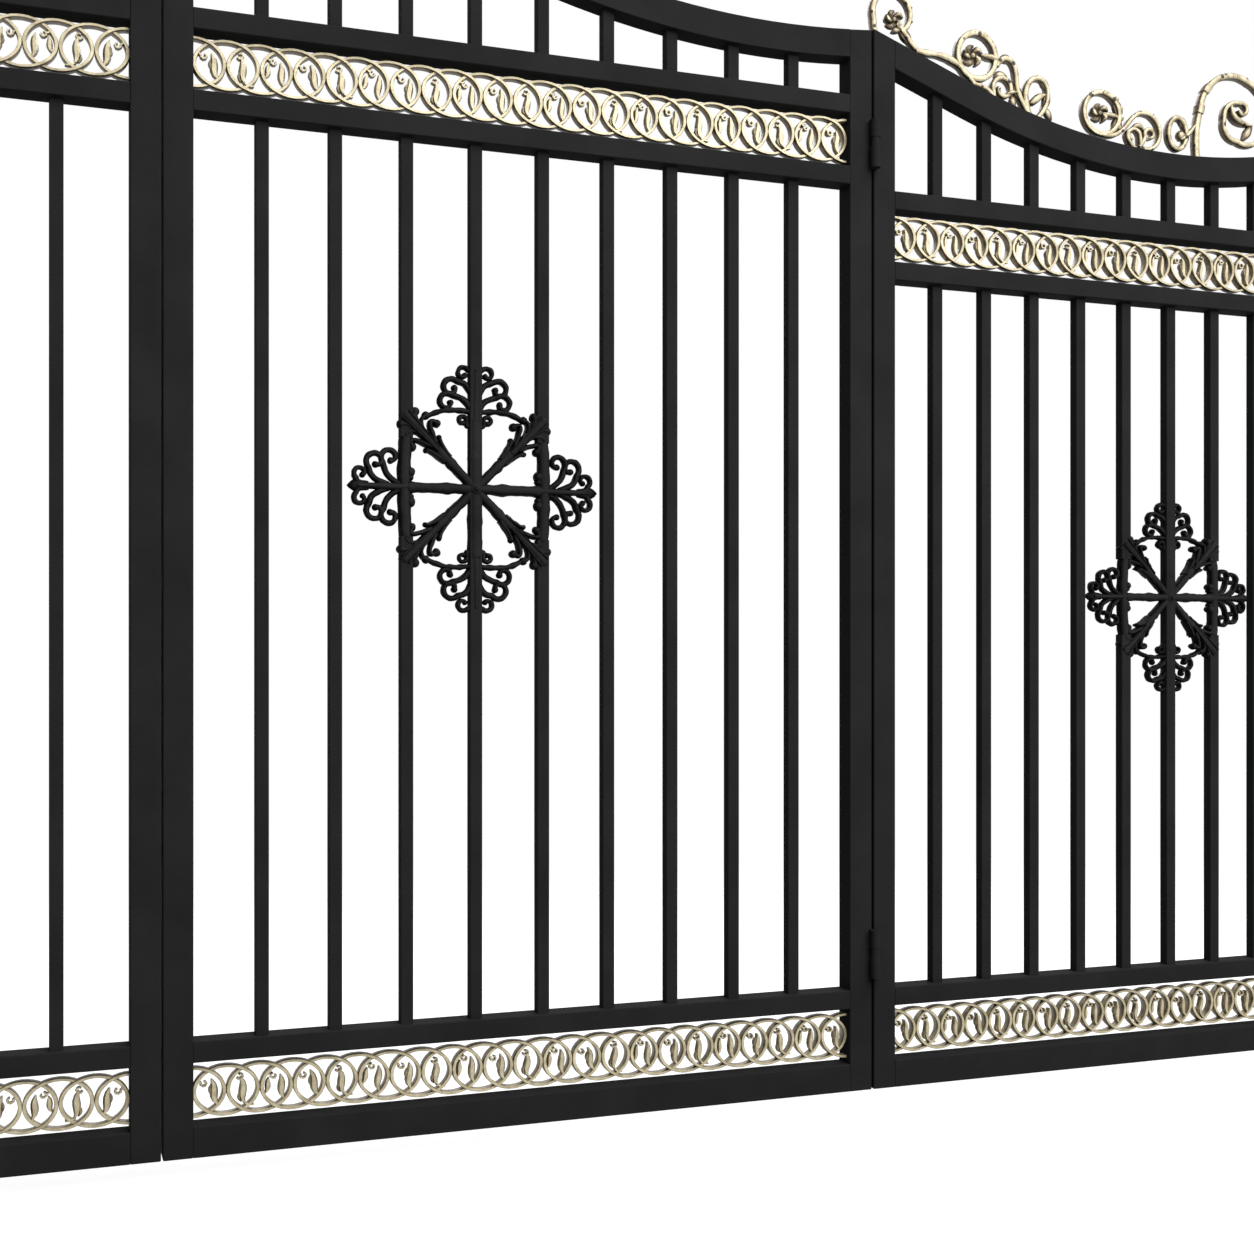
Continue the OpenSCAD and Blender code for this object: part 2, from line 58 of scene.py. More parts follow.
# Sizes of the ironwork
TUBE_ROUNDING = 2.5 * MM
BAR_ROUNDING = 1.8 * MM
HINGE_ROUNDING = 0.8 * MM
BAR_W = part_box("right_inner_bars")[1].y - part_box("right_inner_bars")[0].y
BAR_SHOWN_W = 24 * MM
BAR_COUNT = {"inner": 9, "outer": 11}
MEETING_REACH = 25 * MM
MEETING_GROWTH = 2.5 * MM
RING_BAR = 7.2 * MM
RING_DEPTH = 20 * MM
RING_HEIGHT = 92 * MM
RING_WEAVE = 2.4 * MM
RING_PITCH = 59 * MM
RING_TIP_GAP = 2 * MM
RING_LAP = 0.5 * MM
RING_STEPS = 40
SPRIG_SWING = 9
SPRIG_HEIGHTS = (0.9, 1.05)
MEDALLION_PITCH = 133
MEDALLION_DEPTH = 30
CAST_HAMMER = (1.4 * MM, 90)
CREST_DEPTH = 20 * MM
CREST_HAMMER = (0.6 * MM, 70)
CREST_RING_STEPS = 72
# Rise at which a crest leaf sits low enough to get the painted shade of crevices
SHADED_RISE = 0.65

# Steps and shares that all paths and bars have in common
STEM_STEPS = 14
LEAD_SHARE = 0.7
ROLL_STEP = 6
LENS_FULLNESS = 0.8
KNOT_REACH = 0.07
# Shares of a piece's depth, near its middle plane, that get the painted shade of crevices, fading out over
# the span
CREVICE_FROM = 0.2
CREVICE_SPAN = 0.15

# Edges: angles in degrees at which a mesh shows or gets one
TUBE_CREASE = 30
RING_CREASE = 40
CREST_CREASE = 50
CAST_CREASE = 60
FLAT_ANGLE = 0.3
EDGE_ANGLE = 50
WELD_GAP = 1e-5
ALONG = 0.8


# Mesh helpers
def join(whole, part):
    """Moves a finished part into a larger mesh."""
    buffer = bpy.data.meshes.new("buffer")
    part.to_mesh(buffer)
    part.free()
    whole.from_mesh(buffer)
    bpy.data.meshes.remove(buffer)


def show(name, bm, node, body, material, crease, tube=False):
    """A shown piece that stands for a CAD node and rides on its body; a tube keeps its flats flat."""
    mesh = bpy.data.meshes.new(name)
    bm.to_mesh(mesh)
    mesh.polygons.foreach_set("use_smooth", [True] * len(mesh.polygons))
    mesh.set_sharp_from_angle(angle=math.radians(crease))
    mesh.materials.append(material)
    piece = bpy.data.objects.new(name, mesh)
    bpy.context.scene.collection.objects.link(piece)
    if tube:
        piece.modifiers.new("flat_sides", "WEIGHTED_NORMAL").keep_sharp = True
    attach(piece, body)
    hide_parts(node)


def hang(bm, leaf, part, material, crease, tube=False):
    """Hangs a piece in the right half and its mirrored twin in the left half."""
    bmesh.ops.recalc_face_normals(bm, faces=bm.faces)
    for side in SIDES:
        node = f"{side}_{leaf}_{part}"
        show(node + "_finish", bm, node, f"{side}_{leaf}", material, crease, tube)
        middle = Matrix.Translation((-GATE_MID, 0, 0))
        bmesh.ops.scale(bm, vec=(-1, 1, 1), space=middle, verts=bm.verts)
        bmesh.ops.reverse_faces(bm, faces=bm.faces)
    bm.free()


# Paths in the plane of the gate, as (x, z) vectors
def polar(angle):
    a = math.radians(angle)
    return Vector((math.cos(a), math.sin(a)))


def bend(a, b, c, d, steps):
    """A smooth bend from a to d, drawn towards b and c on its way."""
    path = []
    for i in range(steps + 1):
        t = i / steps
        u = 1 - t
        path.append(a * u ** 3 + b * 3 * u * u * t + c * 3 * u * t * t + d * t ** 3)
    return path


def roll(centre, r0, r1, a0, a1):
    """A spiral round a centre that narrows faster towards its end."""
    steps = math.ceil(abs(a1 - a0) / ROLL_STEP)
    path = []
    for i in range(1, steps + 1):
        t = i / steps
        path.append(centre + polar(a0 + (a1 - a0) * t) * (r0 - (r0 - r1) * t * t))
    return path


def scroll(foot, control, centre, r0, r1, a0, a1):
    """A stem that leads from its foot into a spiral round a centre."""
    start = centre + polar(a0) * r0
    way = 1 if a1 > a0 else -1
    lead = start - polar(a0 + 90) * (way * LEAD_SHARE * r0)
    return bend(foot, control, lead, start, STEM_STEPS) + roll(centre, r0, r1, a0, a1)


def heading(path, i):
    step = path[min(i + 1, len(path) - 1)] - path[max(i - 1, 0)]
    return step.normalized()


def crest(s, z):
    """Point in the crest: distance from the hinge seam and height over the leaf's foot, in mm."""
    return Vector((SEAM + s * MM, SILL + z * MM))


def sweep(*guides, steps=16):
    """Smooth path through the crest with four guide points."""
    return bend(*(crest(*g) for g in guides), steps)


# Forged shapes: widths and depths are functions of the way along a bar, from 0 to 1
def taper(a, b):
    return lambda t: a + (b - a) * t


def lens(width, ends):
    """A leaf's width, full in the middle; ends gives the share that its tips keep."""
    return lambda t: width * (ends + (1 - ends) * math.sin(math.pi * t) ** LENS_FULLNESS)


def spindle(width, knot, places):
    """A bar of even width with a knot at each place along it."""
    return lambda t: width + sum(knot * math.exp(-((t - p) / KNOT_REACH) ** 2) for p in places)


def even(size):
    return lambda t: size


def section(bm, sides, crown, edge=1.0):
    """A closed outline of unit size; crown and edge are the rounded shares of its depth and width."""
    ring = bmesh.ops.create_circle(bm, cap_ends=True, radius=0.5, segments=sides)["verts"]
    bmesh.ops.rotate(bm, cent=(0, 0, 0), matrix=Matrix.Rotation(math.pi / sides, 3, "Z"), verts=ring)
    for v in ring:
        v.co.x = v.co.x * edge + math.copysign((1 - edge) / 2, v.co.x)
        v.co.y = v.co.y * crown + math.copysign((1 - crown) / 2, v.co.y)
    return ring


def bent_bar(whole, path, width, depth, sides=12, crown=0.3):
    """A bar drawn along a path; width and depth are functions of the way along."""
    bm = bmesh.new()
    ring = section(bm, sides, crown)
    edges = bm.edges[:]
    seat = Matrix()
    last = len(path) - 1
    for i, point in enumerate(path):
        if i:
            grown = bmesh.ops.extrude_edge_only(bm, edges=edges)["geom"]
            ring = [g for g in grown if isinstance(g, bmesh.types.BMVert)]
            edges = [g for g in grown if isinstance(g, bmesh.types.BMEdge) and set(g.verts) <= set(ring)]
        ahead = heading(path, i)
        w = width(i / last)
        d = depth(i / last)
        place = Matrix((
            (-ahead.y * w, 0, ahead.x, point.x),
            (0, d, 0, PLANE),
            (ahead.x * w, 0, ahead.y, point.y),
            (0, 0, 0, 1)))
        bmesh.ops.transform(bm, matrix=place @ seat.inverted(), verts=ring)
        seat = place
    bmesh.ops.edgeloop_fill(bm, edges=edges)
    join(whole, bm)


def ball(whole, point, radius, flat=1.0, y=0.0, rings=8):
    """A lump of metal, stretched or flattened from front to back."""
    bm = bmesh.new()
    bmesh.ops.create_uvsphere(bm, u_segments=rings + 4, v_segments=rings, radius=radius)
    bmesh.ops.scale(bm, vec=(1, flat, 1), verts=bm.verts)
    bmesh.ops.translate(bm, vec=(point.x, PLANE + y, point.y), verts=bm.verts)
    join(whole, bm)


def hoop(whole, centre, radius, bar, depth, steps, weave=0.0, height=1.0):
    """A closed ring, round or oval; with a weave it passes over and under its neighbours."""
    bm = bmesh.new()
    section(bm, 8, 0.3, 0.5)
    bmesh.ops.delete(bm, geom=bm.faces[:], context="FACES_ONLY")
    bmesh.ops.scale(bm, vec=(bar, depth, 1), verts=bm.verts)
    bmesh.ops.translate(bm, vec=(radius - bar / 2, 0, 0), verts=bm.verts)
    bmesh.ops.spin(bm, geom=bm.verts[:] + bm.edges[:], cent=(0, 0, 0), axis=(0, 1, 0),
                   angle=2 * math.pi, steps=steps, use_merge=True)
    for v in bm.verts:
        v.co.y -= weave * math.sin(2 * math.atan2(v.co.z, v.co.x))
    bmesh.ops.scale(bm, vec=(1, 1, height), verts=bm.verts)
    bmesh.ops.translate(bm, vec=(centre.x, PLANE, centre.y), verts=bm.verts)
    join(whole, bm)


def hammer(bm, depth, scale):
    """Hammer marks: every point moves in or out by a smooth noise."""
    bm.normal_update()
    for v in bm.verts:
        v.co += v.normal * depth * noise.noise(v.co * scale)


def mark_fronts(bm, depth):
    """Keeps at every point how squarely it faces the front or the back, less in crevices; the finishes
    paint shade where this is low, on sides and in crevices.
    """
    bmesh.ops.recalc_face_normals(bm, faces=bm.faces)
    bm.normal_update()
    unshaded = bm.verts.layers.float.new("unshaded")
    for v in bm.verts:
        raised = (abs(v.co.y - PLANE) / depth - CREVICE_FROM) / CREVICE_SPAN
        v[unshaded] = abs(v.normal.y) * min(max(raised, 0), 1)


# Finishes
def value(nodes, kind, **inputs):
    """A node of some kind with its named inputs set."""
    node = nodes.new(kind)
    for name, number in inputs.items():
        node.inputs[name.replace("_", " ")].default_value = number
    return node


def mottle_group():
    """Soft patches and fine grain that break up an even coat of paint."""
    group = bpy.data.node_groups.new("coat_mottle", "ShaderNodeTree")
    group.interface.new_socket("Patch Scale", in_out="INPUT", socket_type="NodeSocketFloat")
    group.interface.new_socket("Grain Scale", in_out="INPUT", socket_type="NodeSocketFloat")
    group.interface.new_socket("Patches", in_out="OUTPUT", socket_type="NodeSocketFloat")
    group.interface.new_socket("Grain", in_out="OUTPUT", socket_type="NodeSocketFloat")
    nodes, links = group.nodes, group.links
    sizes = nodes.new("NodeGroupInput")
    result = nodes.new("NodeGroupOutput")
    place = nodes.new("ShaderNodeTexCoord")
    for size, name, detail in (("Patch Scale", "Patches", 4.0), ("Grain Scale", "Grain", 2.0)):
        cloud = value(nodes, "ShaderNodeTexNoise", Detail=detail, Roughness=0.55)
        spread = value(nodes, "ShaderNodeMapRange", From_Min=0.3, From_Max=0.7)
        links.new(place.outputs["Object"], cloud.inputs["Vector"])
        links.new(sizes.outputs[size], cloud.inputs["Scale"])
        links.new(cloud.outputs["Fac"], spread.inputs["Value"])
        links.new(spread.outputs["Result"], result.inputs[name])
    return group


def blend_colours(nodes, links, mask, low, high):
    """Colour that goes from low to high with a mask; either may be a colour or a socket."""
    mix = nodes.new("ShaderNodeMix")
    mix.data_type = "RGBA"
    links.new(mask, mix.inputs["Factor"])
    for socket, colour in ((mix.inputs[6], low), (mix.inputs[7], high)):
        if isinstance(colour, tuple):
            socket.default_value = (*colour, 1)
        else:
            links.new(colour, socket)
    return mix.outputs[2]


def spread_value(nodes, links, source, low, high, from_low=0.0, from_high=1.0, smooth=False):
    """A value that runs from low to high while its source runs between two others."""
    span = value(nodes, "ShaderNodeMapRange", From_Min=from_low, From_Max=from_high,
                 To_Min=low, To_Max=high)
    span.interpolation_type = "SMOOTHSTEP" if smooth else "LINEAR"
    links.new(source, span.inputs["Value"])
    return span.outputs["Result"]


def coat(name, patch_scale, grain_scale, relief):
    """A new material with the shared mottle and a fine bump; returns its tree and sockets."""
    material = bpy.data.materials.new(name)
    material.use_nodes = True
    nodes, links = material.node_tree.nodes, material.node_tree.links
    shader = nodes["Principled BSDF"]
    mottle = nodes.new("ShaderNodeGroup")
    mottle.node_tree = MOTTLE
    mottle.inputs["Patch Scale"].default_value = patch_scale
    mottle.inputs["Grain Scale"].default_value = grain_scale
    bump = value(nodes, "ShaderNodeBump", Strength=relief, Distance=MM)
    links.new(mottle.outputs["Grain"], bump.inputs["Height"])
    links.new(bump.outputs["Normal"], shader.inputs["Normal"])
    return material, nodes, links, shader, mottle


def shown_faces(nodes, links, flat):
    """One on faces that look to the front or the back, none on sides and in crevices, where painted shade
    goes.
    """
    unshaded = nodes.new("ShaderNodeAttribute")
    unshaded.attribute_name = "unshaded"
    return spread_value(nodes, links, unshaded.outputs["Fac"], 0.0, 1.0, *flat, smooth=True)


def black_paint(name, dark, light, relief, gloss, painted_shade=None):
    """Black paint with soft patches; a casting gets painted shade on its sides and in its crevices."""
    material, nodes, links, shader, mottle = coat(name, PAINT_PATCHES, PAINT_GRAIN, relief)
    colour = blend_colours(nodes, links, mottle.outputs["Patches"], dark, light)
    # Painted shade: a near-black colour on the casting's sides and in its crevices
    if painted_shade:
        colour = blend_colours(nodes, links, shown_faces(nodes, links, CAST_FLATS), painted_shade, colour)
    links.new(colour, shader.inputs["Base Color"])
    rough = spread_value(nodes, links, mottle.outputs["Patches"], *PAINT_ROUGHNESS)
    links.new(rough, shader.inputs["Roughness"])
    shader.inputs["Specular IOR Level"].default_value = gloss
    return material


def antique_gold(name, dull, pale, side_shade, flat, pits):
    """Pale gold on the faces, painted shade on the sides and in crevices, dark patina in the pits."""
    material, nodes, links, shader, mottle = coat(name, GOLD_PATCHES, GOLD_GRAIN, GOLD_RELIEF)
    gold = blend_colours(nodes, links, mottle.outputs["Patches"], dull, pale)
    # Painted shade on sides and in crevices, from the darkest shade to a dark gold tone
    side = blend_colours(nodes, links, mottle.outputs["Patches"], PATINA_AND_SHADE, side_shade)
    colour = blend_colours(nodes, links, shown_faces(nodes, links, flat), side, gold)
    if pits:
        place = nodes.new("ShaderNodeTexCoord")
        cells = value(nodes, "ShaderNodeTexVoronoi", Scale=PIT_SCALE, Randomness=1.0)
        links.new(place.outputs["Object"], cells.inputs["Vector"])
        pit = spread_value(nodes, links, cells.outputs["Distance"], 1.0, 0.0, *PIT_RIM)
        colour = blend_colours(nodes, links, pit, colour, PATINA_AND_SHADE)
    links.new(colour, shader.inputs["Base Color"])
    rough = spread_value(nodes, links, mottle.outputs["Patches"], *GOLD_ROUGHNESS)
    links.new(rough, shader.inputs["Roughness"])
    shader.inputs["Metallic"].default_value = GOLD_METALLIC
    shader.inputs["Specular IOR Level"].default_value = GOLD_GLOSS
    return material


PAINT_PATCHES = 7.0
PAINT_GRAIN = 420.0
PAINT_ROUGHNESS = (0.5, 0.64)
# Ranges of the unshaded mask over which painted shade on sides and in crevices gives way to the face colour
CAST_FLATS = (0.3, 0.95)
RING_FLATS = (0.3, 0.75)
CREST_FLATS = (0.4, 0.85)
GOLD_PATCHES = 60.0
GOLD_GRAIN = 700.0
GOLD_RELIEF = 0.15
GOLD_ROUGHNESS = (0.34, 0.5)
GOLD_METALLIC = 0.3
GOLD_GLOSS = 0.35
PIT_SCALE = 42.0
PIT_RIM = (0.17, 0.25)
# Painted shade colours for the sides and crevices of the gold pieces
RING_SIDE_SHADE = (0.30, 0.245, 0.155)
CREST_SIDE_SHADE = (0.17, 0.125, 0.07)
# Dark patina in the pits, and also the darkest painted shade on sides and in crevices
PATINA_AND_SHADE = (0.030, 0.022, 0.013)
MOTTLE = mottle_group()
TUBE_PAINT = black_paint("tube_black", (0.017, 0.017, 0.0175), (0.023, 0.023, 0.0235),
                         relief=0.06, gloss=0.002)
# The casting gets near-black painted shade on its sides and in its crevices
CAST_PAINT = black_paint("cast_black", (0.014, 0.014, 0.0145), (0.026, 0.026, 0.0265),
                         relief=0.35, gloss=0.02, painted_shade=(0.004, 0.004, 0.004))
RING_GOLD = antique_gold("ring_gold", (0.36, 0.30, 0.18), (0.62, 0.555, 0.38), RING_SIDE_SHADE, RING_FLATS,
                         pits=False)
CREST_GOLD = antique_gold("crest_gold", (0.26, 0.205, 0.12), (0.64, 0.575, 0.395), CREST_SIDE_SHADE, CREST_FLATS,
                          pits=True)


# Frame tubes: the CAD bodies with their long edges rounded
def rounded_copy(node, radius, kept=None):
    """A CAD body's copy with its edges rounded, all of them or those whose way is kept."""
    bm = bmesh.new()
    bm.from_mesh(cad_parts[node].data)
    bmesh.ops.remove_doubles(bm, verts=bm.verts, dist=WELD_GAP)
    bmesh.ops.dissolve_limit(bm, angle_limit=math.radians(FLAT_ANGLE), verts=bm.verts, edges=bm.edges)
    edges = [e for e in bm.edges if e.is_manifold and e.calc_face_angle() > math.radians(EDGE_ANGLE)]
    if kept:
        edges = [e for e in edges if kept((e.verts[1].co - e.verts[0].co).normalized())]
    bmesh.ops.bevel(bm, geom=edges, offset=radius, offset_type="OFFSET", segments=3, profile=0.5,
                    affect="EDGES", material=-1, clamp_overlap=True)
    return bm


def stout(bm):
    """Brings every bar to its shown thickness about its own middle line."""
    grow = BAR_SHOWN_W / BAR_W
    bm.verts.index_update()
    done = set()
    for first in bm.verts:
        if first in done:
            continue
        bar, rim = set(), {first}
        while rim:
            bar |= rim
            rim = {e.other_vert(v) for v in rim for e in v.link_edges} - bar
        done |= bar
        points = sorted(bar, key=lambda v: v.index)
        middle = sum((v.co for v in points), Vector()) / len(points)
        bmesh.ops.scale(bm, vec=(grow, grow, 1), space=Matrix.Translation(-middle), verts=points)


def meet(bm):
    """Brings the inner leaf's meeting stile up to the seam in the middle of the gate."""
    for v in bm.verts:
        if v.co.x < GATE_MID + MEETING_REACH:
            v.co.x -= MEETING_GROWTH


def level(way):
    return abs(way.x) > ALONG


def upright(way):
    return abs(way.z) > ALONG


for leaf in ("inner", "outer"):
    for part, radius, kept in (("stiles", TUBE_ROUNDING, None), ("rails", TUBE_ROUNDING, level),
                               ("top_rail", TUBE_ROUNDING, level), ("bars", BAR_ROUNDING, upright),
                               ("knuckles", HINGE_ROUNDING, None)):
        tubes = rounded_copy(f"right_{leaf}_{part}", radius, kept)
        if part == "bars":
            stout(tubes)
        if part == "stiles" and leaf == "inner":
            meet(tubes)
        hang(tubes, leaf, part, TUBE_PAINT, TUBE_CREASE, tube=True)
pins = rounded_copy("right_outer_hinge_pins", HINGE_ROUNDING)
hang(pins, "outer", "hinge_pins", TUBE_PAINT, TUBE_CREASE, tube=True)

for node, radius in (("left_post", TUBE_ROUNDING), ("right_post", TUBE_ROUNDING),
                     ("left_post_cap", BAR_ROUNDING), ("right_post_cap", BAR_ROUNDING),
                     ("post_hinge_pins", HINGE_ROUNDING)):
    tubes = rounded_copy(node, radius)
    show(node + "_finish", tubes, node, "posts", TUBE_PAINT, TUBE_CREASE, tube=True)
    tubes.free()


# Ring bands
def sprig(kind):
    """A wavy leaf and a small curl on their stems, round the middle of two rings' lens."""
    bm = bmesh.new()

    def limb(guides, width, depth=16, ends=0.25):
        path = bend(*(Vector(g) * MM for g in guides), 6)
        bent_bar(bm, path, lens(width * MM, ends), even(depth * MM), sides=6, crown=0.8)

    def curl(x, z, turn):
        path = roll(Vector((x, z)) * MM, 6 * MM, 2.5 * MM, turn, turn + 330)[::8]
        bent_bar(bm, path, taper(5.5 * MM, 4.5 * MM), even(15 * MM), sides=6, crown=0.8)

    if kind == "leaf_aside":
        limb(((13, -27), (1, -13), (14, 3), (6, 20)), 15)
        limb(((6, -10), (0, -4), (1, 4), (4, 10)), 7, 12)
        curl(-8, 15, 150)
        limb(((-17, 24), (-17, 20), (-15, 17), (-12, 15)), 5, ends=0.8)
    elif kind == "leaf_amid":
        limb(((2, -28), (-8, -12), (7, 2), (-3, 20)), 15)
        limb(((-3, -6), (-10, -12), (-9, -20), (-4, -25)), 6, 12)
        limb(((0, -26), (6, -31), (12, -33), (18, -32)), 5, ends=0.8)
        curl(-4, 22, 200)
    else:
        limb(((14, -26), (4, -10), (14, 3), (7, 20)), 14)
        limb(((-19, -15), (-11, -6), (-18, 5), (-14, 15)), 11)
        curl(-5, 19, 100)
        limb(((-17, 25), (-15, 23), (-13, 21), (-10, 20)), 5, ends=0.8)
    return bm


def ring_band(leaf, band):
    """Oval rings from stile to stile with sprigs between them; the stiles cut the first and the last."""
    low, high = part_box(f"right_{leaf}_{band}_rings")
    count = round((high.x - low.x + RING_TIP_GAP) / RING_PITCH)
    pitch = (high.x - low.x + RING_TIP_GAP) / count
    radius = pitch + RING_LAP / 2
    mid = (low.z + high.z) / 2
    whole = bmesh.new()
    growth = [sprig(kind) for kind in ("leaf_aside", "leaf_amid", "leaf_pair")]
    chance = random.Random(3)
    for i in range(count + 1):
        centre = Vector((low.x - RING_TIP_GAP / 2 + i * pitch, mid))
        bm = bmesh.new()
        hoop(bm, centre, radius, RING_BAR, RING_DEPTH, RING_STEPS, RING_WEAVE, RING_HEIGHT / (2 * radius))
        for x, way in ((low.x, -1), (high.x, 1)):
            everything = bm.verts[:] + bm.edges[:] + bm.faces[:]
            cut = bmesh.ops.bisect_plane(bm, geom=everything, plane_co=(x, 0, 0), plane_no=(way, 0, 0),
                                         clear_outer=True)["geom_cut"]
            rim = [g for g in cut if isinstance(g, bmesh.types.BMEdge)]
            if rim:
                bmesh.ops.holes_fill(bm, edges=rim)
        join(whole, bm)
        if i < count:
            bm = growth[i % len(growth)].copy()
            turn = Matrix.Rotation(math.radians(chance.uniform(-SPRIG_SWING, SPRIG_SWING)), 4, "Y")
            spot = Matrix.Translation((centre.x + pitch / 2, 0, mid))
            tall = Matrix.Scale(chance.uniform(*SPRIG_HEIGHTS), 4, (0, 0, 1))
            bmesh.ops.transform(bm, matrix=spot @ turn @ tall, verts=bm.verts)
            join(whole, bm)
    for bm in growth:
        bm.free()
    mark_fronts(whole, RING_DEPTH)
    return whole


for leaf in ("inner", "outer"):
    for band in ("lower", "upper"):
        hang(ring_band(leaf, band), leaf, band + "_rings", RING_GOLD, RING_CREASE)


# Medallions, drawn in mm for one bar pitch and scaled to the leaf's own pitch
def medallion(leaf):
    low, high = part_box(f"right_{leaf}_medallion")
    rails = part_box(f"right_{leaf}_rails")
    count = BAR_COUNT[leaf]
    pitch = (rails[1].x - rails[0].x - count * BAR_W) / (count + 1) + BAR_W
    unit = pitch / MEDALLION_PITCH
    middle = Vector(((low.x + high.x) / 2, (low.z + high.z) / 2))
    whole = bmesh.new()

    def at(turn, u, v):
        """Point at u along an arm and v to its left, with the arm turned from the level."""
        ahead = polar(turn)
        return middle + (ahead * u + Vector((-ahead.y, ahead.x)) * v) * unit

    def rod(path, width, depth):
        bent_bar(whole, path, lambda t: width(t) * unit, lambda t: depth(t) * unit, sides=10, crown=0.8)

    def limb(turn, guides, width, depth, steps=STEM_STEPS, m=1):
        rod(bend(*(at(turn, u, m * v) for u, v in guides), steps), width, depth)

    def curl(turn, m, foot, control, centre, r0, r1, a0, a1, bar):
        local = scroll(Vector(foot), Vector(control), Vector(centre), r0, r1, a0, a1)
        path = [at(turn, q.x, m * q.y) for q in local]
        rod(path, taper(bar, 0.75 * bar), even(20))
        ball(whole, path[-1], 0.52 * bar * unit, flat=1.7, rings=6)

    def lobe(turn, m, guides, bar, tip):
        """A curled leaf lobe with a rounded end."""
        limb(turn, guides, taper(bar, 0.9 * bar), even(MEDALLION_DEPTH), m=m)
        ball(whole, at(turn, guides[3][0], m * guides[3][1]), tip * unit, flat=1.7)

    ball(whole, middle, 17 * unit, flat=1.15)
    ball(whole, middle, 5 * unit, flat=1.1, y=-17 * unit)
    for turn in range(0, 360, 90):
        wide = spindle(20, 5, (0.4, 0.95)) if turn % 180 == 0 else spindle(28, 2, (0.45, 0.95))
        limb(turn, ((6, 0), (45, 0), (90, 0), (130, 0)), wide, even(MEDALLION_DEPTH), 24)
        limb(turn, ((126, 0), (160, 0), (195, 0), (226, 0)), taper(17, 11), even(29))
        limb(turn, ((206, 0), (218, 0), (232, 0), (244, 0)), lens(25, 0.1), taper(28, 14), 10)
        for m in (-1, 1):
            curl(turn, m, (142, 4), (178, 19), (164, 54), 16, 6, -30, 255, 12.5)
            curl(turn, m, (167, 3), (209, 17), (191, 46), 17, 6, -35, 265, 12.5)
            curl(turn, m, (205, 3), (232, 6), (219, 23), 12, 5, -45, 225, 11)
    twig = ((146, 9), (150, 34), (153, 64), (134, 93))
    side = ((133, -95), (138, -40), (138, 40), (133, 95))
    for m in (-1, 1):
        for turn in (90, 270):
            limb(turn, twig, spindle(9.5, 3, (0.25, 0.5, 0.8)), even(20), 18, m)
            curl(turn, m, (120, 12), (116, 20), (130, 24), 8, 5, -60, 200, 10)
        for turn in (0, 180):
            ball(whole, at(turn, 125, m * 28), 10 * unit, flat=1.5)
            ball(whole, at(turn, 125, m * 18), 7 * unit, flat=1.7)
    for turn in (0, 180):
        limb(turn, side, spindle(24, 3, (0.1, 0.36, 0.64, 0.9)), even(28), 24)
    for turn in range(45, 360, 90):
        limb(turn, ((6, 0), (42, 0), (76, 0), (112, 0)), spindle(19, 4, (0.55, 0.8)), even(28), 20)
        limb(turn, ((100, 0), (130, 0), (160, 0), (190, 0)), taper(17, 23), even(33))
        ball(whole, at(turn, 190, 0), 13 * unit, flat=1.3)
        for m in (-1, 1):
            lobe(turn, m, ((76, 7), (96, 10), (109, 11), (117, 18)), 9, 5.5)
            lobe(turn, m, ((114, 6), (134, 13), (166, 27), (139, 33)), 10, 8.3)
            lobe(turn, m, ((150, 6), (160, 10), (168, 18), (163, 28)), 9, 8)
            lobe(turn, m, ((158, 5), (172, 8), (180, 12), (183, 18)), 11, 9)
            limb(turn, ((104, 4), (130, 5), (160, 7), (192, 9)), taper(4, 6), even(37), m=m)
    hammer(whole, *CAST_HAMMER)
    mark_fronts(whole, MEDALLION_DEPTH * unit)
    return whole


for leaf in ("inner", "outer"):
    hang(medallion(leaf), leaf, "medallion", CAST_PAINT, CAST_CREASE)


# Crest
def crest_bar(whole, path, w0, w1):
    bent_bar(whole, path, taper(w0 * MM, w1 * MM), even(CREST_DEPTH), crown=0.4)


def crest_leaf(whole, path, width, rise=1.3):
    """A leaf that lies along a path, thickest in the middle; one with little rise sits low enough to get
    the painted shade of crevices.
    """
    bent_bar(whole, path, lens(width * MM, 0.2), lens(rise * CREST_DEPTH, 0.6), sides=10, crown=0.6)


def lump(whole, point, size):
    """A ball that stands at least as far out as the bars."""
    ball(whole, point, size * MM, flat=max(1, 0.58 * CREST_DEPTH / (size * MM)), rings=6)


def knots(whole, centre, radius, turns, size):
    """Small lumps along a rim."""
    for turn in turns:
        lump(whole, centre + polar(turn) * radius * MM, size)


def bud(whole, centre, size):
    """A knotted bud: five curled petals of unlike length round a heart."""
    petals = ((15, 0.95, 1.3), (80, 0.85, 0.6), (150, 0.8, 1.2), (215, 1.0, 0.6), (290, 0.85, 1.3))
    for turn, reach, rise in petals:
        root = centre + polar(turn + 75) * 0.25 * size * MM
        side = centre + polar(turn + 40) * 0.7 * size * MM
        tip = centre + polar(turn) * reach * size * MM
        petal = bend(root, side, side, tip, 8)
        width = lens(0.58 * size * MM, 0.4)
        bent_bar(whole, petal, width, lens(rise * CREST_DEPTH, 0.5), sides=8, crown=0.9)
    lump(whole, centre, 0.28 * size)


def collar(whole, path, spot, width):
    """A raised band round a bar."""
    bent_bar(whole, path[spot:spot + 3], even(width * MM), even(1.25 * CREST_DEPTH), sides=10)


